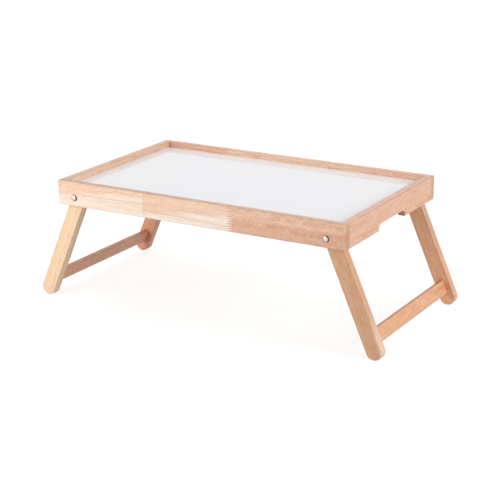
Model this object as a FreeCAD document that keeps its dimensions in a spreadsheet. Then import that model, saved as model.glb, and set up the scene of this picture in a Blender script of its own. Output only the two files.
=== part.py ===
import FreeCAD, Part
import math
import os
import Sketcher

# A bed tray table: a shallow wooden tray with a white surface, on two folding leg frames.
# Millimetres. X runs along the tray, Y from front to back, Z up. The origin is on the
# floor, under the middle of the tray.

DIMENSIONS = (
    # tray
    ("tray_length", "500"),
    ("tray_depth", "305"),
    ("rail_height", "38.5"),
    ("apron_thickness", "10.5"),
    ("end_rail_thickness", "12"),
    ("rim_lip", "9.4"),
    ("board_thickness", "2.5"),
    ("sheet_thickness", "0.5"),
    ("sheet_edge_gap", "0.2"),
    ("groove_depth", "5"),
    ("groove_end_gap", "0.5"),
    ("outer_rounding", "1.2"),
    ("inner_rounding", "0.6"),
    # handle notch in the lower edge of each end rail
    ("notch_length", "90"),
    ("notch_depth", "10"),
    ("notch_corner_radius", "8"),
    # dowels that pin the end rails to the aprons
    ("dowel_diameter", "6"),
    ("dowel_in_apron", "7"),
    ("dowel_in_rail", "14"),
    ("dowel_end_gap", "0.5"),
    ("dowel_chamfer", "0.8"),
    ("dowel_low", "8"),
    ("dowel_high", "19"),
    ("glue_gap", "0.05"),
    # legs and stretchers
    ("leg_width", "24.5"),
    ("leg_thickness", "15"),
    ("leg_reach", "188.5"),
    ("splay_angle", "23.5"),
    ("side_gap", "2"),
    ("fold_gap", "0.5"),
    ("stop_gap", "0.2"),
    ("stretcher_width", "22.5"),
    ("stretcher_thickness", "7"),
    ("stretcher_drop", "147"),
    ("stretcher_rounding", "0.8"),
    ("tenon_length", "9"),
    ("tenon_shoulder", "1.5"),
    ("mortise_end_gap", "0.5"),
    # pivots
    ("barrel_diameter", "5"),
    ("running_clearance", "0.05"),
    ("side_clearance", "0.15"),
    ("head_diameter", "10"),
    ("head_rim", "1.2"),
    ("head_dome", "1.2"),
    ("head_rounding", "1.5"),
    ("screw_diameter", "4"),
    ("screw_length", "15"),
    ("screw_end_gap", "1"),
    ("screw_head_diameter", "9"),
    ("screw_head_height", "2.2"),
    ("screw_head_rounding", "1"),
    ("recess_length", "4.4"),
    ("recess_width", "1"),
    ("recess_depth", "1.3"),
    ("spacer_diameter", "14"),
    ("washer_diameter", "12"),
    ("washer_thickness", "1"),
)

# Heights inside the tray, above the lower edge of its rails.
BOARD_TOP = "(dims.rail_height - dims.rim_lip - dims.sheet_thickness)"
BOARD_BOTTOM = f"({BOARD_TOP} - dims.board_thickness)"
PIVOT_RISE = f"({BOARD_BOTTOM} - dims.fold_gap - dims.leg_width / 2)"

# The clear inside of the tray frame, and the board that its grooves hold.
INNER_LENGTH = "(dims.tray_length - 2 * dims.end_rail_thickness)"
INNER_DEPTH = "(dims.tray_depth - 2 * dims.apron_thickness)"
TONGUE = "(dims.groove_depth - dims.groove_end_gap)"

# An open leg leans against the rounded lower inside edge of the end rail.
STOP_REACH = (
    f"(dims.leg_width / 2 + dims.stop_gap + {PIVOT_RISE} * sin(dims.splay_angle)"
    " - dims.outer_rounding * (cos(dims.splay_angle) + sin(dims.splay_angle) - 1))"
)
PIVOT_X = f"({INNER_LENGTH} / 2 - {STOP_REACH} / cos(dims.splay_angle))"

# The round foot touches the floor, which sets the height of the pivots and the tray.
FOOT_CENTRE = "(dims.leg_reach - dims.leg_width / 2)"
PIVOT_HEIGHT = f"({FOOT_CENTRE} * cos(dims.splay_angle) + dims.leg_width / 2)"
TRAY_BOTTOM = f"({PIVOT_HEIGHT} - {PIVOT_RISE})"

# Places across the tray, measured from its middle.
APRON_INNER = f"({INNER_DEPTH} / 2)"
LEG_OUTER = f"({APRON_INNER} - dims.side_gap)"
LEG_MIDDLE = f"({LEG_OUTER} - dims.leg_thickness / 2)"
LEG_INNER = f"({LEG_OUTER} - dims.leg_thickness)"
WASHER_OUTER = f"({LEG_INNER} - dims.side_clearance)"
WASHER_INNER = f"({WASHER_OUTER} - dims.washer_thickness)"
BARREL_LENGTH = f"(dims.tray_depth / 2 - {WASHER_INNER})"

# Radii and mortise sizes.
BARREL_RADIUS = "(dims.barrel_diameter / 2)"
PIVOT_BORE = f"({BARREL_RADIUS} + dims.running_clearance)"
DOWEL_RADIUS = "(dims.dowel_diameter / 2)"
DOWEL_BORE = f"({DOWEL_RADIUS} + dims.glue_gap)"
DOME_RADIUS = "(((dims.head_diameter / 2) ^ 2 + dims.head_dome ^ 2) / (2 * dims.head_dome))"
HEAD_HEIGHT = "(dims.head_rim + dims.head_dome)"
TENON_THICKNESS = "(dims.stretcher_thickness - 2 * dims.tenon_shoulder)"
TENON_TOP = "(-dims.stretcher_drop - dims.tenon_shoulder)"
TENON_BOTTOM = "(-dims.stretcher_drop - dims.stretcher_width + dims.tenon_shoulder)"

ROWS = (("front", -1), ("back", 1))
SIDES = (("left", -1), ("right", 1))
HALF_TURN = "180"
TOLERANCE = 1e-4
SKETCH_ORIGIN = -1
START, END, CENTRE = 1, 2, 3

Vector = FreeCAD.Vector
Constraint = Sketcher.Constraint

doc = FreeCAD.newDocument("bed_tray_table")
dims = doc.addObject("Spreadsheet::Sheet", "dims")
pieces = []


def fill_sheet():
    for row, (alias, number) in enumerate(DIMENSIONS, 1):
        dims.set(f"A{row}", number)
        dims.setAlias(f"A{row}", alias)
    doc.recompute()


def value(expression):
    return float(dims.evalExpression(expression))


# --- sketches ---------------------------------------------------------------------------

def new_body(label):
    body = doc.addObject("PartDesign::Body", label)
    body.Label = label
    pieces.append(body)
    return body


def new_sketch(body, name, role, offset="0"):
    """A sketch on one of the body's own origin planes, moved along the plane's normal."""
    sketch = body.newObject("Sketcher::SketchObject", f"{body.Name}_{name}")
    plane = next(item for item in body.Origin.OriginFeatures if item.Role == role)
    sketch.AttachmentSupport = [(plane, "")]
    sketch.MapMode = "FlatFace"
    sketch.setExpression("AttachmentOffset.Base.z", offset)
    return sketch


def bind(sketch, constraint, expression):
    index = sketch.addConstraint(constraint)
    sketch.setExpression(f"Constraints[{index}]", expression)


def pin_x(sketch, geometry, point, x):
    bind(sketch, Constraint("DistanceX", SKETCH_ORIGIN, START, geometry, point, value(x)), x)


def pin_y(sketch, geometry, point, y):
    bind(sketch, Constraint("DistanceY", SKETCH_ORIGIN, START, geometry, point, value(y)), y)


def rectangle(sketch, left, right, bottom, top):
    x0, x1, y0, y1 = (value(edge) for edge in (left, right, bottom, top))
    corners = (Vector(x0, y0, 0), Vector(x1, y0, 0), Vector(x1, y1, 0), Vector(x0, y1, 0))
    lines = []
    for index, corner in enumerate(corners):
        line = Part.LineSegment(corner, corners[(index + 1) % 4])
        lines.append(sketch.addGeometry(line, False))
    for index, line in enumerate(lines):
        sketch.addConstraint(Constraint("Coincident", line, END, lines[(index + 1) % 4], START))
    for level, upright in ((lines[0], lines[1]), (lines[2], lines[3])):
        sketch.addConstraint(Constraint("Horizontal", level))
        sketch.addConstraint(Constraint("Vertical", upright))
    pin_x(sketch, lines[0], START, left)
    pin_y(sketch, lines[0], START, bottom)
    pin_x(sketch, lines[1], END, right)
    pin_y(sketch, lines[1], END, top)


def circle(sketch, x, y, radius):
    shape = Part.Circle(Vector(value(x), value(y), 0), Vector(0, 0, 1), value(radius))
    ring = sketch.addGeometry(shape, False)
    pin_x(sketch, ring, CENTRE, x)
    pin_y(sketch, ring, CENTRE, y)
    bind(sketch, Constraint("Radius", ring, value(radius)), radius)


def leg_outline(sketch):
    """A flat bar with round ends: the pivot is at the sketch's origin, the foot below."""
    radius = value("dims.leg_width / 2")
    drop = value(FOOT_CENTRE)
    head_circle = Part.Circle(Vector(0, 0, 0), Vector(0, 0, 1), radius)
    foot_circle = Part.Circle(Vector(0, -drop, 0), Vector(0, 0, 1), radius)
    head = sketch.addGeometry(Part.ArcOfCircle(head_circle, 0, math.pi), False)
    foot = sketch.addGeometry(Part.ArcOfCircle(foot_circle, math.pi, 2 * math.pi), False)
    left_line = Part.LineSegment(Vector(-radius, 0, 0), Vector(-radius, -drop, 0))
    right_line = Part.LineSegment(Vector(radius, -drop, 0), Vector(radius, 0, 0))
    left = sketch.addGeometry(left_line, False)
    right = sketch.addGeometry(right_line, False)
    for first, second in ((head, left), (left, foot), (foot, right), (right, head)):
        sketch.addConstraint(Constraint("Tangent", first, END, second, START))
    sketch.addConstraint(Constraint("Equal", head, foot))
    pin_x(sketch, head, CENTRE, "0")
    pin_y(sketch, head, CENTRE, "0")
    pin_x(sketch, foot, CENTRE, "0")
    pin_y(sketch, foot, CENTRE, f"-{FOOT_CENTRE}")
    bind(sketch, Constraint("Radius", head, radius), "dims.leg_width / 2")


def dome_outline(sketch):
    """Half of the section of a low domed head, to be turned about the sketch's upright axis."""
    radius = value("dims.head_diameter / 2")
    rim = value("dims.head_rim")
    top = value(HEAD_HEIGHT)
    sphere = value(DOME_RADIUS)
    centre = Vector(0, sphere - top, 0)
    edge_angle = math.atan2(-rim - centre.y, radius)
    flat = sketch.addGeometry(Part.LineSegment(Vector(0, 0, 0), Vector(radius, 0, 0)), False)
    side_line = Part.LineSegment(Vector(radius, 0, 0), Vector(radius, -rim, 0))
    side = sketch.addGeometry(side_line, False)
    dome_circle = Part.Circle(centre, Vector(0, 0, 1), sphere)
    dome = sketch.addGeometry(Part.ArcOfCircle(dome_circle, -math.pi / 2, edge_angle), False)
    axis = sketch.addGeometry(Part.LineSegment(Vector(0, -top, 0), Vector(0, 0, 0)), False)
    sketch.addConstraint(Constraint("Coincident", flat, START, SKETCH_ORIGIN, START))
    sketch.addConstraint(Constraint("Coincident", flat, END, side, START))
    sketch.addConstraint(Constraint("Coincident", side, END, dome, END))
    sketch.addConstraint(Constraint("Coincident", dome, START, axis, START))
    sketch.addConstraint(Constraint("Coincident", axis, END, SKETCH_ORIGIN, START))
    sketch.addConstraint(Constraint("Horizontal", flat))
    sketch.addConstraint(Constraint("Vertical", side))
    sketch.addConstraint(Constraint("Vertical", axis))
    pin_x(sketch, flat, END, "dims.head_diameter / 2")
    pin_y(sketch, side, END, "-dims.head_rim")
    pin_y(sketch, axis, START, f"-{HEAD_HEIGHT}")
    pin_x(sketch, dome, CENTRE, "0")


# --- features ---------------------------------------------------------------------------

def pad(body, sketch, length, side_type="Symmetric", reverse=False):
    feature = body.newObject("PartDesign::Pad", f"{sketch.Name}_pad")
    feature.Profile = sketch
    feature.SideType = side_type
    feature.Reversed = reverse
    feature.setExpression("Length", length)
    sketch.Visibility = False
    doc.recompute()
    return feature


def pocket(body, sketch, depth=None, reverse=False):
    """Cut to a depth, or right through both ways where no depth is given."""
    before = body.Tip.Shape.Volume
    feature = body.newObject("PartDesign::Pocket", f"{sketch.Name}_cut")
    feature.Profile = sketch
    feature.Reversed = reverse
    if depth is None:
        feature.SideType = "Symmetric"
        feature.Type = "ThroughAll"
    else:
        feature.setExpression("Length", depth)
    sketch.Visibility = False
    doc.recompute()
    if not feature.Shape.Volume < before - TOLERANCE:
        raise RuntimeError(f"{feature.Name} cuts nothing")
    return feature


def dress_edges(body, kind, name, size, chosen):
    """A Fillet or a Chamfer on every edge of the tip that the function chosen picks."""
    base = body.Tip
    names = [f"Edge{index}" for index, edge in enumerate(base.Shape.Edges, 1) if chosen(edge)]
    feature = body.newObject(f"PartDesign::{kind}", f"{body.Name}_{name}")
    feature.Base = (base, names)
    feature.setExpression("Radius" if kind == "Fillet" else "Size", size)
    doc.recompute()
    return feature


def lies_at(edge, axis, position):
    return all(abs(getattr(vertex.Point, axis) - position) < TOLERANCE for vertex in edge.Vertexes)


def runs_along(edge, axis):
    start, end = edge.Vertexes[0].Point, edge.Vertexes[-1].Point
    return abs(abs(getattr(end - start, axis)) - edge.Length) < TOLERANCE


def place(piece, x="0", y="0", z="0", axis=Vector(0, 0, 1), angle="0"):
    piece.Placement = FreeCAD.Placement(Vector(0, 0, 0), FreeCAD.Rotation(axis, value(angle)))
    piece.setExpression("Placement.Base.x", x)
    piece.setExpression("Placement.Base.y", y)
    piece.setExpression("Placement.Base.z", z)
    if value(angle):
        piece.setExpression("Placement.Rotation.Angle", angle)


def row_angle(row):
    """Pieces are drawn for the front; those of the back row are turned half a turn."""
    return HALF_TURN if row > 0 else "0"


# --- tray -------------------------------------------------------------------------------

def apron(label, row):
    """Long rail: grooved for the board, bored for dowels and pivots. Its outside faces -Y."""
    body = new_body(label)
    half_thickness = value("dims.apron_thickness / 2")
    end_x = value("dims.tray_length / 2")

    blank = new_sketch(body, "blank", "XZ_Plane")
    rectangle(blank, "-dims.tray_length / 2", "dims.tray_length / 2", "0", "dims.rail_height")
    pad(body, blank, "dims.apron_thickness")

    def outside(edge):
        at_end = lies_at(edge, "x", end_x) or lies_at(edge, "x", -end_x)
        crosses = at_end and runs_along(edge, "y")
        return lies_at(edge, "y", -half_thickness) or crosses

    def inside(edge):
        return lies_at(edge, "y", half_thickness) and runs_along(edge, "x")

    dress_edges(body, "Fillet", "outer_edges", "dims.outer_rounding", outside)
    dress_edges(body, "Fillet", "inner_edges", "dims.inner_rounding", inside)

    inner_face = "-dims.apron_thickness / 2"
    groove_end = f"({INNER_LENGTH} / 2 + dims.groove_depth)"
    groove = new_sketch(body, "groove", "XZ_Plane", inner_face)
    rectangle(groove, f"-{groove_end}", groove_end, BOARD_BOTTOM, BOARD_TOP)
    pocket(body, groove, "dims.groove_depth", reverse=True)

    dowel_holes = new_sketch(body, "dowel_holes", "XZ_Plane", inner_face)
    for sign in "-+":
        for height in ("dims.dowel_low", "dims.dowel_high"):
            x = f"{sign}(dims.tray_length / 2 - dims.end_rail_thickness / 2)"
            circle(dowel_holes, x, height, DOWEL_BORE)
    pocket(body, dowel_holes, "dims.dowel_in_apron + dims.dowel_end_gap", reverse=True)

    pivot_holes = new_sketch(body, "pivot_holes", "XZ_Plane")
    for sign in "-+":
        circle(pivot_holes, f"{sign}{PIVOT_X}", PIVOT_RISE, PIVOT_BORE)
    pocket(body, pivot_holes)

    middle = f"{row} * ({APRON_INNER} + dims.apron_thickness / 2)"
    place(body, y=middle, z=TRAY_BOTTOM, angle=row_angle(row))


def end_rail(label, side):
    """Short rail between the aprons, with a handle notch below. Its outside faces +X."""
    body = new_body(label)
    half_thickness = value("dims.end_rail_thickness / 2")
    end_y = value(f"{INNER_DEPTH} / 2")
    notch_top = value("dims.notch_depth")

    blank = new_sketch(body, "blank", "YZ_Plane")
    rectangle(blank, f"-{INNER_DEPTH} / 2", f"{INNER_DEPTH} / 2", "0", "dims.rail_height")
    pad(body, blank, "dims.end_rail_thickness")

    notch = new_sketch(body, "notch", "YZ_Plane")
    rectangle(notch, "-dims.notch_length / 2", "dims.notch_length / 2", "0", "dims.notch_depth")
    pocket(body, notch)

    def notch_corner(edge):
        return lies_at(edge, "z", notch_top) and runs_along(edge, "x")

    def along_face(edge):
        on_face = lies_at(edge, "x", half_thickness) or lies_at(edge, "x", -half_thickness)
        at_end = lies_at(edge, "y", end_y) or lies_at(edge, "y", -end_y)
        return on_face and not at_end

    dress_edges(body, "Fillet", "notch_corners", "dims.notch_corner_radius", notch_corner)
    dress_edges(body, "Fillet", "edges", "dims.outer_rounding", along_face)

    groove = new_sketch(body, "groove", "YZ_Plane", "-dims.end_rail_thickness / 2")
    rectangle(groove, f"-{INNER_DEPTH} / 2", f"{INNER_DEPTH} / 2", BOARD_BOTTOM, BOARD_TOP)
    pocket(body, groove, "dims.groove_depth", reverse=True)

    for name, sign, reverse in (("front", "+", False), ("back", "-", True)):
        holes = new_sketch(body, f"{name}_holes", "XZ_Plane", f"{sign}{INNER_DEPTH} / 2")
        for height in ("dims.dowel_low", "dims.dowel_high"):
            circle(holes, "0", height, DOWEL_BORE)
        pocket(body, holes, "dims.dowel_in_rail + dims.dowel_end_gap", reverse=reverse)

    middle = f"{side} * (dims.tray_length / 2 - dims.end_rail_thickness / 2)"
    place(body, x=middle, z=TRAY_BOTTOM, angle="0" if side > 0 else HALF_TURN)


def flat_panel(label, length, depth, thickness, bottom):
    panel = doc.addObject("Part::Box", label)
    panel.Label = label
    panel.setExpression("Length", length)
    panel.setExpression("Width", depth)
    panel.setExpression("Height", thickness)
    place(panel, x=f"-{length} / 2", y=f"-{depth} / 2", z=f"{TRAY_BOTTOM} + {bottom}")
    pieces.append(panel)


def tray_board():
    length = f"({INNER_LENGTH} + 2 * {TONGUE})"
    depth = f"({INNER_DEPTH} + 2 * {TONGUE})"
    flat_panel("tray_board", length, depth, "dims.board_thickness", BOARD_BOTTOM)


def tray_surface():
    length = f"({INNER_LENGTH} - 2 * dims.sheet_edge_gap)"
    depth = f"({INNER_DEPTH} - 2 * dims.sheet_edge_gap)"
    flat_panel("tray_surface", length, depth, "dims.sheet_thickness", BOARD_TOP)


def dowel(label, row, side, height):
    """Chamfered pin, drawn along Y from the apron's inner face."""
    body = new_body(label)
    pin = new_sketch(body, "pin", "XZ_Plane", "dims.dowel_in_apron")
    circle(pin, "0", "0", DOWEL_RADIUS)
    length = "dims.dowel_in_apron + dims.dowel_in_rail"
    pad(body, pin, length, "One side", reverse=True)
    low_end = value("-dims.dowel_in_apron")
    high_end = value("dims.dowel_in_rail")

    def at_end(edge):
        return lies_at(edge, "y", low_end) or lies_at(edge, "y", high_end)

    dress_edges(body, "Chamfer", "ends", "dims.dowel_chamfer", at_end)
    x = f"{side} * (dims.tray_length / 2 - dims.end_rail_thickness / 2)"
    place(body, x, f"{row} * {APRON_INNER}", f"{TRAY_BOTTOM} + {height}", angle=row_angle(row))


# --- leg frames -------------------------------------------------------------------------

def leg(label, row, side):
    """Flat leg, drawn upright with its pivot at the origin; the mortise faces the other leg."""
    body = new_body(label)
    half_thickness = value("dims.leg_thickness / 2")

    blank = new_sketch(body, "blank", "XZ_Plane")
    leg_outline(blank)
    pad(body, blank, "dims.leg_thickness")

    def on_face(edge):
        return lies_at(edge, "y", half_thickness) or lies_at(edge, "y", -half_thickness)

    dress_edges(body, "Fillet", "edges", "dims.outer_rounding", on_face)

    bore = new_sketch(body, "bore", "XZ_Plane")
    circle(bore, "0", "0", PIVOT_BORE)
    pocket(body, bore)

    mortise = new_sketch(body, "mortise", "XZ_Plane", f"{row} * dims.leg_thickness / 2")
    half_width = f"({TENON_THICKNESS} / 2 + dims.glue_gap)"
    bottom = f"{TENON_BOTTOM} - dims.glue_gap"
    rectangle(mortise, f"-{half_width}", half_width, bottom, f"{TENON_TOP} + dims.glue_gap")
    pocket(body, mortise, "dims.tenon_length + dims.mortise_end_gap", reverse=row < 0)

    splay = f"{-side} * dims.splay_angle"
    place(body, f"{side} * {PIVOT_X}", f"{row} * {LEG_MIDDLE}", PIVOT_HEIGHT,
          Vector(0, 1, 0), splay)


def stretcher(label, side):
    """Flat bar between the two legs of a frame, with a tenon at each end."""
    body = new_body(label)
    half_thickness = value("dims.stretcher_thickness / 2")

    bar = new_sketch(body, "bar", "XZ_Plane")
    half = "dims.stretcher_thickness / 2"
    bottom = "-dims.stretcher_drop - dims.stretcher_width"
    rectangle(bar, f"-{half}", half, bottom, "-dims.stretcher_drop")
    pad(body, bar, f"2 * {LEG_INNER}")

    def long_edge(edge):
        on_face = lies_at(edge, "x", half_thickness) or lies_at(edge, "x", -half_thickness)
        return on_face and runs_along(edge, "y")

    dress_edges(body, "Fillet", "edges", "dims.stretcher_rounding", long_edge)

    tenon = new_sketch(body, "tenon", "XZ_Plane")
    rectangle(tenon, f"-{TENON_THICKNESS} / 2", f"{TENON_THICKNESS} / 2", TENON_BOTTOM, TENON_TOP)
    pad(body, tenon, f"2 * ({LEG_INNER} + dims.tenon_length)")

    splay = f"{-side} * dims.splay_angle"
    place(body, x=f"{side} * {PIVOT_X}", z=PIVOT_HEIGHT, axis=Vector(0, 1, 0), angle=splay)


# --- pivots -----------------------------------------------------------------------------

def place_on_pivot(body, row, side, distance):
    """Set a piece drawn along Y on a pivot axis, at a distance from the tray's middle."""
    y = f"{row} * {distance}"
    place(body, f"{side} * {PIVOT_X}", y, PIVOT_HEIGHT, angle=row_angle(row))


def sleeve_nut(label, row, side):
    """Domed head on the outside of the apron; its barrel is the axle that the leg turns on."""
    body = new_body(label)
    dome = new_sketch(body, "dome", "XY_Plane")
    dome_outline(dome)
    head = body.newObject("PartDesign::Revolution", f"{body.Name}_head")
    head.Profile = dome
    head.ReferenceAxis = (dome, ["V_Axis"])
    head.Angle = 360
    doc.recompute()
    rim_height = value("dims.head_rim")

    def shoulder(edge):
        return lies_at(edge, "y", -rim_height)

    dress_edges(body, "Fillet", "shoulder", "dims.head_rounding", shoulder)

    barrel = new_sketch(body, "barrel", "XZ_Plane")
    circle(barrel, "0", "0", BARREL_RADIUS)
    pad(body, barrel, BARREL_LENGTH, "One side", reverse=True)

    bore = new_sketch(body, "bore", "XZ_Plane", f"-{BARREL_LENGTH}")
    circle(bore, "0", "0", "dims.screw_diameter / 2 + dims.glue_gap")
    pocket(body, bore, "dims.screw_length + dims.screw_end_gap", reverse=True)
    place_on_pivot(body, row, side, "dims.tray_depth / 2")


def pivot_screw(label, row, side):
    """Pan-head screw from inside the frame; its head is drawn towards +Y."""
    body = new_body(label)
    shank = new_sketch(body, "shank", "XZ_Plane")
    circle(shank, "0", "0", "dims.screw_diameter / 2")
    pad(body, shank, "dims.screw_length", "One side")

    head = new_sketch(body, "head", "XZ_Plane")
    circle(head, "0", "0", "dims.screw_head_diameter / 2")
    pad(body, head, "dims.screw_head_height", "One side", reverse=True)
    head_top = value("dims.screw_head_height")

    def crown(edge):
        return lies_at(edge, "y", head_top)

    dress_edges(body, "Fillet", "crown", "dims.screw_head_rounding", crown)

    length, width = "dims.recess_length / 2", "dims.recess_width / 2"
    for name, across, up in (("level_slot", length, width), ("upright_slot", width, length)):
        slot = new_sketch(body, name, "XZ_Plane", "-dims.screw_head_height")
        rectangle(slot, f"-{across}", across, f"-{up}", up)
        pocket(body, slot, "dims.recess_depth", reverse=True)
    place_on_pivot(body, row, side, WASHER_INNER)


def washer(label, row, side, diameter, thickness, distance):
    """Flat ring round the barrel, drawn from its outer face towards the tray's middle."""
    body = new_body(label)
    ring = new_sketch(body, "ring", "XZ_Plane")
    circle(ring, "0", "0", f"{diameter} / 2")
    circle(ring, "0", "0", PIVOT_BORE)
    pad(body, ring, thickness, "One side", reverse=True)
    place_on_pivot(body, row, side, distance)


def spacer_washer(label, row, side):
    thickness = "dims.side_gap - dims.side_clearance"
    washer(label, row, side, "dims.spacer_diameter", thickness, APRON_INNER)


def inner_washer(label, row, side):
    washer(label, row, side, "dims.washer_diameter", "dims.washer_thickness", WASHER_OUTER)


# --- the whole table --------------------------------------------------------------------

def build():
    fill_sheet()
    tray_board()
    tray_surface()
    for row_name, row in ROWS:
        apron(f"{row_name}_apron", row)
    for side_name, side in SIDES:
        end_rail(f"{side_name}_end_rail", side)
        stretcher(f"{side_name}_stretcher", side)
    for row_name, row in ROWS:
        for side_name, side in SIDES:
            corner = f"{row_name}_{side_name}"
            leg(f"leg_{corner}", row, side)
            sleeve_nut(f"sleeve_nut_{corner}", row, side)
            pivot_screw(f"pivot_screw_{corner}", row, side)
            spacer_washer(f"spacer_washer_{corner}", row, side)
            inner_washer(f"inner_washer_{corner}", row, side)
            dowel(f"lower_dowel_{corner}", row, side, "dims.dowel_low")
            dowel(f"upper_dowel_{corner}", row, side, "dims.dowel_high")
    doc.recompute()


def check():
    for item in doc.Objects:
        if "Invalid" in item.State or "Error" in item.State:
            raise RuntimeError(f"{item.Name} failed: {item.State}")
    for piece in pieces:
        if piece.Shape.isNull() or not piece.Shape.isValid() or len(piece.Shape.Solids) != 1:
            raise RuntimeError(f"{piece.Label} is not one valid solid")


def export():
    os.makedirs("parts", exist_ok=True)
    for piece in pieces:
        piece.Shape.exportStep(f"parts/{piece.Label}.step")


build()
check()
export()
print(f"{len(pieces)} pieces")
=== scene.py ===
"""The looks of a folding bed tray table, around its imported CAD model.

A pale finger-jointed frame holds a glossy white panel and stands on two leg frames, which fold under it
on chrome sleeve nuts. Lengths are in metres, except in the materials' patterns, which are in millimetres.
"""

from collections import namedtuple
from math import cos, pi, radians, sin

import bpy
from mathutils import Matrix, Vector

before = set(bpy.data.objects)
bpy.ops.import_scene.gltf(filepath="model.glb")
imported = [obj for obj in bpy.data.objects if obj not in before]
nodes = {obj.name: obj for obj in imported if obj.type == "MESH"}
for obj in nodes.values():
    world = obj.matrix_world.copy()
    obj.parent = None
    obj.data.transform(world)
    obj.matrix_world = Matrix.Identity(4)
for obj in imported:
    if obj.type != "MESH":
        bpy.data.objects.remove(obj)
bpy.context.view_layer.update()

# ---------------------------------------------------------------- the camera, fitted to the photograph
PICTURE_SIDE = 500
CAMERA_PLACE = Vector((1.0909, -1.8398, 0.7697))
CAMERA_YAW = radians(30.54)
CAMERA_PITCH = radians(-17.86)
CAMERA_ROLL = radians(-0.49)
FOCAL_PIXELS = 1422.5
SENSOR_WIDTH = 36.0

# ---------------------------------------------------------------- colours, as they look in plain light
WHITE = (255, 255, 255)
MILK = (251, 242, 231)
IVORY = (248, 234, 219)
CREAM = (251, 232, 211)
HONEY = (245, 218, 183)
PEACH = (243, 213, 189)
SHELL = (238, 205, 180)
APRICOT = (233, 184, 146)
BLUSH = (236, 200, 178)
BISCUIT = (230, 190, 165)
SAND = (226, 184, 156)
ALMOND = (210, 172, 146)
ROSE = (226, 185, 162)
CHESTNUT = (239, 187, 156)
TAN = (218, 177, 141)
RUSSET = (221, 167, 135)
COPPER = (237, 187, 150)

MM = 1000.0
SPLAY = radians(23.5)
QUARTER = pi / 2


def linear(colour):
    """The RGBA value, in linear light, of a colour that is given as three numbers up to 255."""
    parts = (part / 255 for part in colour)
    return (*(p / 12.92 if p <= 0.04045 else ((p + 0.055) / 1.055) ** 2.4 for p in parts), 1.0)


class Graph:
    """A node tree; each method adds one kind of node and returns what comes out of it."""

    def __init__(self, owner):
        owner.use_nodes = True
        self.owner = owner
        self.tree = owner.node_tree
        self.tree.nodes.clear()

    def put(self, socket, value):
        """Links a node's output to the socket, or sets the socket to a plain value."""
        if isinstance(value, bpy.types.NodeSocket):
            self.tree.links.new(value, socket)
        else:
            socket.default_value = value

    def node(self, kind, *inputs, named=None, **settings):
        """The inputs fill the sockets in their order, named ones by name, and settings are properties."""
        made = self.tree.nodes.new("ShaderNode" + kind)
        for key, setting in settings.items():
            setattr(made, key, setting)
        for socket, value in zip(made.inputs, inputs):
            self.put(socket, value)
        for key, value in (named or {}).items():
            self.put(made.inputs[key], value)
        return made

    def math(self, operation, *inputs):
        return self.node("Math", *inputs, operation=operation).outputs[0]

    def total(self, *weighed):
        """The sum of (value, weight) pairs."""
        result = 0.0
        for value, weight in weighed:
            result = self.math("MULTIPLY_ADD", value, weight, result)
        return result

    def stretch(self, place, factors):
        return self.node("VectorMath", place, factors, operation="MULTIPLY").outputs[0]

    def place(self):
        """Where the point is on the object, in mm."""
        return self.stretch(self.node("TexCoord").outputs["Object"], (MM, MM, MM))

    def noise(self, place, factors=(1.0, 1.0, 1.0), detail=2.0, roughness=0.5):
        """Noise from 0 to 1 about 0.5; the factors are how many bumps there are in a mm each way."""
        named = {"Scale": 1.0, "Detail": detail, "Roughness": roughness}
        return self.node("TexNoise", self.stretch(place, factors), named=named).outputs["Fac"]

    def noise_along(self, length, detail=2.0, roughness=0.5):
        """The same along one length only."""
        named = {"W": length, "Scale": 1.0, "Detail": detail, "Roughness": roughness}
        return self.node("TexNoise", named=named, noise_dimensions="1D").outputs["Fac"]

    def fit(self, value, low, high, to_low=0.0, to_high=1.0, smooth=False):
        """The value brought from low and high to to_low and to_high, and held between them."""
        kind = "SMOOTHSTEP" if smooth else "LINEAR"
        return self.node("MapRange", value, low, high, to_low, to_high, interpolation_type=kind).outputs[0]

    def mix(self, share, first, second, blend="MIX"):
        made = self.node("Mix", share, data_type="RGBA", blend_type=blend)
        self.put(made.inputs[6], first)
        self.put(made.inputs[7], second)
        return made.outputs[2]

    def steps(self, value, stops):
        """A colour ramp with no blending: stops are (place, RGBA) pairs."""
        made = self.node("ValToRGB", value)
        ramp = made.color_ramp
        ramp.interpolation = "CONSTANT"
        while len(ramp.elements) < len(stops):
            ramp.elements.new(0.5)
        while len(ramp.elements) > len(stops):
            ramp.elements.remove(ramp.elements[-1])
        for element, (place, colour) in zip(ramp.elements, stops):
            element.position = place
            element.color = colour
        return made

    def bump(self, height, distance, strength=1.0):
        named = {"Strength": strength, "Distance": distance, "Height": height}
        return self.node("Bump", named=named).outputs[0]

    def finish(self, shader, kind="OutputMaterial"):
        self.tree.links.new(shader, self.node(kind).inputs["Surface"])
        return self.owner

    def surface(self, **sockets):
        """The main shader, with its sockets named in small letters and underscores for spaces."""
        made = self.node("BsdfPrincipled")
        for key, value in sockets.items():
            self.put(made.inputs[key.replace("_", " ").title().replace("Ior", "IOR")], value)
        return self.finish(made.outputs[0])


def new_graph(name):
    return Graph(bpy.data.materials.new(name))


# ---------------------------------------------------------------- wood
# the finger joints: the lengths of the first and the last joint's fingers, their pitch and their glue
FINGERS = (13.0, 13.0)
FINGER_PITCH = 3.8
GLUE_REACH = 0.9
GLUE_DARKNESS = 0.4

# the figure: how far the growth rings are bent, how many of them there are in a mm, and the tints
SLOW_BEND = 26.0
CURL_BEND = 20.0
RING_RATE = 0.21
LATE_WOOD_RATE = 0.33
PATCH_LIMITS = (0.40, 0.60)
PORE_LIMITS = (0.60, 0.68)
PORE_DARKNESS = 0.45
RING_TINT = (0.90, 0.80, 0.72, 1.0)
LINE_TINT = (0.89, 0.74, 0.63, 1.0)
PATCH_TINT = (0.88, 0.73, 0.65, 1.0)
PORE_TINT = (0.66, 0.50, 0.38, 1.0)

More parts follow.
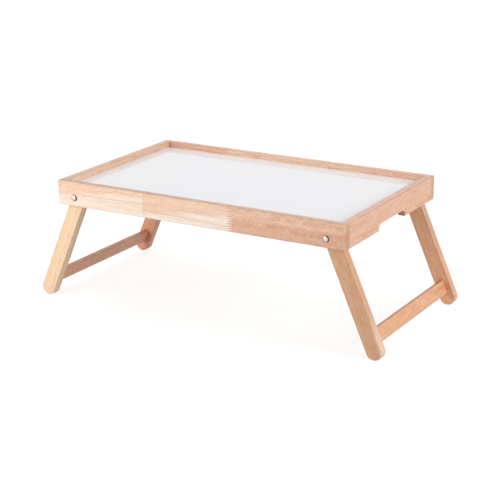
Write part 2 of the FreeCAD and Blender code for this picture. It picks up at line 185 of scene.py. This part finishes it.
# where a face counts as cut across the fibres or as lying upward, how wide the painted shade on the long
# edges is, and the tints: end grain, then painted shade on upper faces and on the long edges
END_GRAIN_FACING = (0.55, 0.9)
UPWARD_FACING = (0.6, 0.95)
EDGE_SHADE_REACH = (0.4, 2.0)
END_GRAIN_TINT = (0.71, 0.58, 0.50, 1.0)
TOP_SHADE_TINT = (0.66, 0.60, 0.60, 1.0)
EDGE_SHADE_TINT = (0.80, 0.74, 0.71, 1.0)

# the turns that lay a piece's grain along X, how far apart two staves are cut from one tree, and the
# divisor that brings the slope of a stave's band into a colour channel
ALONG_X = (0.0, 0.0, 0.0)
ALONG_Y = (0.0, 0.0, -QUARTER)
SEED_STRIDE = (731.0, 97.0, 53.0)
RISE_SCALE = 10.0

Stave = namedtuple("Stave", "end low high figure band_start band_end")
Side = namedtuple("Side", "axis low high")


def jointed_length(g, split, width, ends, staves, fingers):
    """How far along the piece a point lies, from 0 to 1, shifted by a zigzag that gives joints fingers."""
    along = split.outputs["X"]
    joints = [stave.end for stave in staves[:-1]] or [ends[0]]
    finger = g.fit(along, joints[0], joints[-1] + 1.0, *fingers)
    wave = g.math("MULTIPLY_ADD", g.math("PINGPONG", width, FINGER_PITCH / 2), 2 / FINGER_PITCH, -0.5)
    shift = g.math("MULTIPLY", wave, finger)
    return g.fit(g.math("ADD", along, shift), ends[0], ends[1])


def stave_looks(g, zigzag, shares, staves, seed):
    """What changes from stave to stave: the low colour, with a number of the stave's own as its alpha; the
    high colour, with the figure as its alpha; and the share of the width at which the two colours meet.
    """
    lows, highs, bands = [], [], []
    for index, (stave, start, end) in enumerate(zip(staves, [0.0, *shares], shares)):
        number = (index * 0.37 + seed * 0.61) % 1.0
        rise = (stave.band_end - stave.band_start) / (end - start)
        lows.append((start, (*linear(stave.low)[:3], number)))
        highs.append((start, (*linear(stave.high)[:3], stave.figure)))
        bands.append((start, (start, stave.band_start, 0.5 + rise / RISE_SCALE, 1.0)))
    low, high = g.steps(zigzag, lows), g.steps(zigzag, highs)
    cut = g.node("SeparateColor", g.steps(zigzag, bands).outputs[0])
    rise = g.math("MULTIPLY", g.math("SUBTRACT", cut.outputs[2], 0.5), RISE_SCALE)
    run = g.math("SUBTRACT", zigzag, cut.outputs[0])
    return low, high, g.math("MULTIPLY_ADD", run, rise, cut.outputs[1])


def glue_line(g, zigzag, shares, length):
    """1 on the thin line of glue at each finger joint, and 0 elsewhere."""
    reach = GLUE_REACH / length
    stops = [(0.0, (0, 0, 0, 1))]
    for share in shares[:-1]:
        stops.append((share - reach, (1, 1, 1, 1)))
        stops.append((share + reach, (0, 0, 0, 1)))
    return g.steps(zigzag, stops).outputs[0]


def arris(g, split, sides):
    """1 on the long edges of a piece, which lie where two pairs of its sides meet."""
    depths = []
    for side in sides:
        from_low = g.math("SUBTRACT", split.outputs[side.axis], side.low)
        from_high = g.math("SUBTRACT", side.high, split.outputs[side.axis])
        depths.append(g.math("MINIMUM", from_low, from_high))
    return g.fit(g.math("MAXIMUM", *depths), *EDGE_SHADE_REACH, 1.0, 0.0, smooth=True)


def wood(name, turn, ends, across, thick, staves, seed,
         soft=0.16, arch=0.03, coat=0.25, rubbed=0.0, fingers=FINGERS):
    """Rubberwood of a piece whose grain is turned to lie along X by the rotation turn.

    ends are where the piece begins and ends along its grain, and across and thick are the Sides of its
    width and thickness. The staves run from one finger joint to the next. The two colours of a stave meet
    at a share of the width that runs from its band start to its band end, over soft of it each way. A
    figure of 0 is lined by late wood, and 1 is curly and blotched. arch is how fast the rings drift along
    the grain, coat how much lacquer lies on it, rubbed how much painted shade darkens its upper faces,
    and fingers the lengths of the first and the last joint's fingers.
    """
    g = new_graph(name)
    texture = g.node("TexCoord")
    scaled = g.node("Mapping", texture.outputs["Object"], vector_type="POINT")
    g.put(scaled.inputs["Rotation"], turn)
    g.put(scaled.inputs["Scale"], (MM, MM, MM))
    place = scaled.outputs[0]
    split = g.node("SeparateXYZ", place)
    width = split.outputs[across.axis]
    length = ends[1] - ends[0]
    shares = [(stave.end - ends[0]) / length for stave in staves]
    zigzag = jointed_length(g, split, width, ends, staves, fingers)
    low, high, band = stave_looks(g, zigzag, shares, staves, seed)
    figure = high.outputs["Alpha"]
    offset = g.stretch(low.outputs["Alpha"], SEED_STRIDE)
    grain = g.node("VectorMath", place, offset, operation="ADD").outputs[0]

    # growth rings about an axis outside the piece, bent by slow noise and by the curl of the figure
    bend = g.noise(grain, (0.006, 0.035, 0.035))
    mottle = g.noise(grain, (0.045, 0.11, 0.11))
    flat = g.stretch(grain, (arch, 1.0, 1.0))
    radius = g.node("VectorMath", flat, operation="LENGTH").outputs["Value"]
    curl = g.math("MULTIPLY", g.math("SUBTRACT", mottle, 0.5), figure)
    radius = g.total((radius, 1.0), (bend, SLOW_BEND), (curl, CURL_BEND))
    rings = g.noise_along(g.math("MULTIPLY", radius, RING_RATE), 2.5, 0.55)
    late = g.noise_along(g.math("MULTIPLY", radius, LATE_WOOD_RATE), 1.0)

    # what lies along the fibres, from broad to fine
    clouds = g.noise(grain, (0.022, 0.075, 0.075))
    flecks = g.noise(grain, (0.20, 0.42, 0.42))
    streaks = g.noise(grain, (0.008, 0.35, 0.35), 3.0, 0.6)
    fibres = g.noise(grain, (0.05, 1.9, 1.9), 3.0, 0.65)
    pores = g.fit(g.noise(grain, (0.19, 3.1, 3.1), 1.0), *PORE_LIMITS)

    # the two colours of each stave, which meet along a wavy line, and the figure over them
    share = g.fit(width, across.low, across.high)
    share = g.math("MULTIPLY_ADD", g.math("SUBTRACT", bend, 0.5), 0.7, share)
    share = g.fit(g.math("SUBTRACT", share, band), -soft, soft, smooth=True)
    colour = g.mix(share, low.outputs[0], high.outputs[0])
    dark = g.total((rings, 0.9), (streaks, 1.1), (fibres, 0.6), (clouds, 0.5))
    dark = g.math("MULTIPLY", g.fit(dark, 1.2, 2.0), g.fit(figure, 0.0, 1.0, 1.0, 0.75))
    colour = g.mix(dark, colour, RING_TINT, "MULTIPLY")
    line = g.math("MULTIPLY", g.fit(late, 0.58, 0.70, smooth=True), g.fit(figure, 0.0, 1.0, 0.8, 0.5))
    colour = g.mix(line, colour, LINE_TINT, "MULTIPLY")
    blotch = g.total((g.fit(mottle, *PATCH_LIMITS), 0.5), (g.fit(flecks, *PATCH_LIMITS), 0.5))
    blotch = g.math("MULTIPLY", blotch, g.fit(figure, 0.0, 1.0, 0.2, 1.0))
    colour = g.mix(blotch, colour, PATCH_TINT, "MULTIPLY")
    colour = g.mix(g.math("MULTIPLY", pores, PORE_DARKNESS), colour, PORE_TINT, "MULTIPLY")
    if len(staves) > 1:
        glue = glue_line(g, zigzag, shares, length)
        colour = g.mix(g.math("MULTIPLY", glue, GLUE_DARKNESS), colour, RING_TINT, "MULTIPLY")

    # darker ends of the fibres, then painted shade along the long edges and on the upper faces
    turned = g.node("Mapping", texture.outputs["Normal"], vector_type="NORMAL")
    g.put(turned.inputs["Rotation"], turn)
    facing = g.math("ABSOLUTE", g.node("SeparateXYZ", turned.outputs[0]).outputs["X"])
    colour = g.mix(g.fit(facing, *END_GRAIN_FACING), colour, END_GRAIN_TINT, "MULTIPLY")
    # painted shade along the long edges, weaker in places where the streaks are light
    edge_shade = g.math("MULTIPLY", arris(g, split, (across, thick)), g.fit(streaks, 0.3, 0.7, 1.0, 0.5))
    colour = g.mix(edge_shade, colour, EDGE_SHADE_TINT, "MULTIPLY")
    # painted shade: the faces that look upward are darkened by how far they face up
    if rubbed:
        upward = g.node("SeparateXYZ", texture.outputs["Normal"]).outputs["Z"]
        colour = g.mix(g.fit(upward, *UPWARD_FACING, 0.0, rubbed), colour, TOP_SHADE_TINT, "MULTIPLY")

    relief = g.math("SUBTRACT", g.math("MULTIPLY", fibres, 0.5), pores)
    return g.surface(
        base_color=colour,
        roughness=g.fit(g.math("ADD", streaks, pores), 0.3, 1.2, 0.42, 0.60),
        specular_ior_level=0.45,
        coat_weight=coat,
        coat_roughness=0.28,
        normal=g.bump(relief, 0.00004, 0.6),
    )


def leg_turn(side):
    """The rotation that lays a leg's grain along X; side is -1 on the left and 1 on the right."""
    return (0.0, -side * (QUARTER - SPLAY), 0.0)


def stretcher_turn(side):
    """The same for a stretcher, which runs from front to back between tilted legs."""
    return (0.0, -side * (QUARTER - SPLAY), -QUARTER)


def turned_side(name, turn, axis):
    """The ends of a node along one axis of its turned frame, in mm."""
    turning = Matrix.Rotation(turn[2], 3, "Z") @ Matrix.Rotation(turn[1], 3, "Y")
    places = [(turning @ vertex.co)["XYZ".index(axis)] * MM for vertex in nodes[name].data.vertices]
    return Side(axis, min(places), max(places))


def dress_wood(name, turn, across_axis, staves, seed, **how):
    """Gives one wooden node its own cut of wood. staves hold what a Stave does, but end at a share of the
    node's length.
    """
    grain = turned_side(name, turn, "X")
    across = turned_side(name, turn, across_axis)
    thick = turned_side(name, turn, "Y" if across_axis == "Z" else "Z")
    length = grain.high - grain.low
    cut = [Stave(grain.low + share * length, *looks) for share, *looks in staves]
    made = wood("wood_" + name, turn, (grain.low, grain.high), across, thick, cut, seed, **how)
    nodes[name].material_slots[0].material = made


def dress_tray():
    front = [
        (0.315, IVORY, PEACH, 0.2, 0.45, 0.8),
        (0.62, MILK, PEACH, 0.3, 0.1, 0.7),
        (1.0, BISCUIT, SHELL, 1.0, 0.4, 0.6),
    ]
    back = [
        (0.263, PEACH, BISCUIT, 0.4, 0.5, 0.5),
        (0.748, SHELL, SHELL, 0.3, 0.5, 0.5),
        (1.0, PEACH, BLUSH, 0.7, 0.5, 0.5),
    ]
    left = [(0.42, PEACH, PEACH, 0.4, 0.5, 0.5), (1.0, SHELL, SHELL, 0.4, 0.5, 0.5)]
    right = [(1.0, SAND, SAND, 0.6, 0.5, 0.5)]
    dress_wood("front_apron", ALONG_X, "Z", front, seed=1, rubbed=0.9, fingers=(3.5, 13.0))
    dress_wood("back_apron", ALONG_X, "Z", back, seed=2, rubbed=0.4)
    dress_wood("left_end_rail", ALONG_Y, "Z", left, seed=3, rubbed=0.5)
    dress_wood("right_end_rail", ALONG_Y, "Z", right, seed=4, rubbed=0.5)


def dress_legs():
    faces = {
        "front_left": (HONEY, CREAM, 0.2),
        "front_right": (TAN, PEACH, 0.6),
        "back_left": (RUSSET, ROSE, 0.6),
        "back_right": (COPPER, ALMOND, 0.5),
    }
    for seed, (corner, looks) in enumerate(faces.items(), start=5):
        side = -1 if "left" in corner else 1
        dress_wood("leg_" + corner, leg_turn(side), "Z", [(1.0, *looks, 0.98, 0.98)], seed, soft=0.08)
    left = [(1.0, CHESTNUT, CHESTNUT, 0.6, 0.5, 0.5)]
    right = [(1.0, APRICOT, APRICOT, 0.6, 0.5, 0.5)]
    dress_wood("left_stretcher", stretcher_turn(-1), "Y", left, 9, coat=0.1, rubbed=1.0)
    dress_wood("right_stretcher", stretcher_turn(1), "Y", right, 10, coat=0.1, rubbed=0.8)


def dress_dowels():
    for name in nodes:
        if "dowel" in name:
            dress_wood(name, ALONG_X, "Z", [(1.0, HONEY, PEACH, 0.3, 0.5, 0.5)], seed=len(name))


# ---------------------------------------------------------------- the other materials
# a sleeve nut's axis, and the radii between which its bright dome gives way to its rim, which is painted
# dark as painted shade and painted reflection
PIVOT_X = 219.03
PIVOT_HEIGHT = 173.88
RIM_SHADE_LIMITS = (3.0, 4.2)


def white_sheet():
    g = new_graph("white_sheet")
    place = g.place()
    ripples = g.noise(place, (0.35, 0.35, 0.35))
    smudges = g.noise(place, (0.012, 0.012, 0.012), 4.0, 0.6)
    return g.surface(
        base_color=g.mix(smudges, linear((246, 246, 250)), linear((249, 249, 251))),
        roughness=g.fit(smudges, 0.3, 0.7, 0.02, 0.05),
        specular_ior_level=0.5,
        normal=g.bump(ripples, 0.00001, 0.15),
    )


def hardboard():
    g = new_graph("board")
    place = g.place()
    fibres = g.noise(place, (0.9, 0.9, 2.0), 5.0, 0.7)
    clouds = g.noise(place, (0.03, 0.03, 0.03), 3.0)
    colour = g.mix(g.fit(fibres, 0.3, 0.7), linear((150, 112, 78)), linear((190, 150, 110)))
    return g.surface(
        base_color=g.mix(g.fit(clouds, 0.3, 0.7, 0.0, 0.25), colour, linear((168, 122, 84))),
        roughness=g.fit(fibres, 0.3, 0.7, 0.72, 0.86),
        specular_ior_level=0.3,
        normal=g.bump(fibres, 0.0001, 0.6),
    )


def chrome():
    g = new_graph("polished_steel")
    place = g.place()
    wear = g.noise(place, (1.1, 1.1, 1.1), 4.0, 0.65)
    split = g.node("SeparateXYZ", place)
    across = g.math("SUBTRACT", g.math("ABSOLUTE", split.outputs["X"]), PIVOT_X)
    up = g.math("SUBTRACT", split.outputs["Z"], PIVOT_HEIGHT)
    radius = g.math("SQRT", g.math("MULTIPLY_ADD", across, across, g.math("MULTIPLY", up, up)))
    bright = g.mix(wear, linear((208, 192, 176)), linear((224, 210, 196)))
    return g.surface(
        # the rim of the dome is painted dark brown: painted shade and painted reflection of the wood
        # around the head
        base_color=g.mix(g.fit(radius, *RIM_SHADE_LIMITS, smooth=True), bright, linear((118, 84, 68))),
        metallic=1.0,
        roughness=g.fit(wear, 0.3, 0.7, 0.14, 0.22),
        normal=g.bump(wear, 0.000004, 0.3),
    )


def zinc():
    g = new_graph("plated_steel")
    spangle = g.noise(g.place(), (2.5, 2.5, 2.5), 4.0, 0.7)
    return g.surface(
        base_color=g.mix(spangle, linear((176, 174, 168)), linear((206, 206, 202))),
        metallic=1.0,
        roughness=g.fit(spangle, 0.3, 0.7, 0.24, 0.38),
        normal=g.bump(spangle, 0.00001, 0.4),
    )


def nylon():
    g = new_graph("washer_plastic")
    haze = g.noise(g.place(), (0.8, 0.8, 0.8), 3.0)
    return g.surface(
        base_color=g.mix(haze, linear((226, 222, 210)), linear((236, 233, 224))),
        roughness=g.fit(haze, 0.3, 0.7, 0.35, 0.5),
        specular_ior_level=0.5,
        normal=g.bump(haze, 0.00002, 0.3),
    )


def dress_by_name(part_of_name, material):
    for name, node in nodes.items():
        if part_of_name in name:
            node.material_slots[0].material = material


# ---------------------------------------------------------------- floor, light and camera
FLOOR_HALF = 6.0
FLOOR_GREY = 0.80
# the floor's share of plain white, near the table and far from it, and the distances between them
NEAR_GLOW = 0.64
FAR_GLOW = 0.82
GLOW_LIMITS = (0.6, 1.6)
GLOW_LEVEL = 1.27
WORLD_LEVEL = 0.40
WORLD_WHITE = 1.0
AIM = Vector((0.0, 0.0, 0.15))


def sees_background(g):
    """1 for the rays that show the background: from the camera, from gloss and through glass."""
    path = g.node("LightPath")
    seen = g.math("MAXIMUM", path.outputs["Is Camera Ray"], path.outputs["Is Glossy Ray"])
    return g.math("MAXIMUM", seen, path.outputs["Is Transmission Ray"])


def make_floor():
    corners = [(-1, -1), (1, -1), (1, 1), (-1, 1)]
    mesh = bpy.data.meshes.new("floor")
    mesh.from_pydata([(x * FLOOR_HALF, y * FLOOR_HALF, 0.0) for x, y in corners], [], [(0, 1, 2, 3)])
    floor = bpy.data.objects.new("floor", mesh)
    bpy.context.scene.collection.objects.link(floor)
    g = new_graph("floor")
    lit = g.node("BsdfDiffuse", (FLOOR_GREY, FLOOR_GREY, FLOOR_GREY, 1.0)).outputs[0]
    glow = g.node("Emission", linear(WHITE), GLOW_LEVEL).outputs[0]
    away = g.node("VectorMath", g.node("TexCoord").outputs["Object"], operation="LENGTH").outputs["Value"]
    share = g.math("MULTIPLY", sees_background(g), g.fit(away, *GLOW_LIMITS, NEAR_GLOW, FAR_GLOW))
    top = g.node("MixShader", share, lit, glow).outputs[0]
    clear = g.node("BsdfTransparent").outputs[0]
    below = g.node("NewGeometry").outputs["Backfacing"]
    floor.data.materials.append(g.finish(g.node("MixShader", below, top, clear).outputs[0]))


def make_world():
    g = Graph(bpy.data.worlds.new("studio"))
    level = g.fit(sees_background(g), 0.0, 1.0, WORLD_LEVEL, WORLD_WHITE)
    sky = g.node("Background", linear(WHITE), level).outputs[0]
    bpy.context.scene.world = g.finish(sky, "OutputWorld")


def softbox(name, azimuth, height, distance, size, level):
    """A square lamp aimed at the table. A face turned to it gets the share level of full light.

    The azimuth is counted from the front towards the right, and the height is above the floor, both in
    degrees about the aim.
    """
    a, h = radians(azimuth), radians(height)
    way = Vector((sin(a) * cos(h), -cos(a) * cos(h), sin(h)))
    lamp = bpy.data.lights.new(name, "AREA")
    lamp.shape = "SQUARE"
    lamp.size = size
    lamp.energy = level * (pi * distance) ** 2
    holder = bpy.data.objects.new(name, lamp)
    holder.location = AIM + way * distance
    holder.rotation_mode = "QUATERNION"
    holder.rotation_quaternion = (-way).to_track_quat("-Z", "Y")
    bpy.context.scene.collection.objects.link(holder)


def make_lights():
    softbox("key", -35, 15, 1.8, 1.0, 0.54)
    softbox("side", 85, 20, 2.2, 0.9, 0.48)
    softbox("back", 200, 35, 2.2, 1.2, 0.15)
    softbox("top", 200, 65, 1.6, 1.0, 0.16)


def make_camera():
    pitched = cos(CAMERA_PITCH)
    forward = Vector((-sin(CAMERA_YAW) * pitched, cos(CAMERA_YAW) * pitched, sin(CAMERA_PITCH)))
    level = Vector((cos(CAMERA_YAW), sin(CAMERA_YAW), 0.0))
    upright = level.cross(forward)
    right = cos(CAMERA_ROLL) * level + sin(CAMERA_ROLL) * upright
    up = cos(CAMERA_ROLL) * upright - sin(CAMERA_ROLL) * level
    lens = bpy.data.cameras.new("camera")
    lens.sensor_width = SENSOR_WIDTH
    lens.lens = FOCAL_PIXELS / PICTURE_SIDE * SENSOR_WIDTH
    camera = bpy.data.objects.new("camera", lens)
    turning = Matrix((right, up, -forward)).transposed().to_4x4()
    camera.matrix_world = Matrix.Translation(CAMERA_PLACE) @ turning
    bpy.context.scene.collection.objects.link(camera)
    bpy.context.scene.camera = camera


dress_tray()
dress_legs()
dress_dowels()
dress_by_name("tray_surface", white_sheet())
dress_by_name("tray_board", hardboard())
dress_by_name("sleeve_nut", chrome())
plated = zinc()
dress_by_name("pivot_screw", plated)
dress_by_name("inner_washer", plated)
dress_by_name("spacer_washer", nylon())
make_floor()
make_world()
make_lights()
make_camera()
bpy.context.scene.view_settings.view_transform = "Standard"
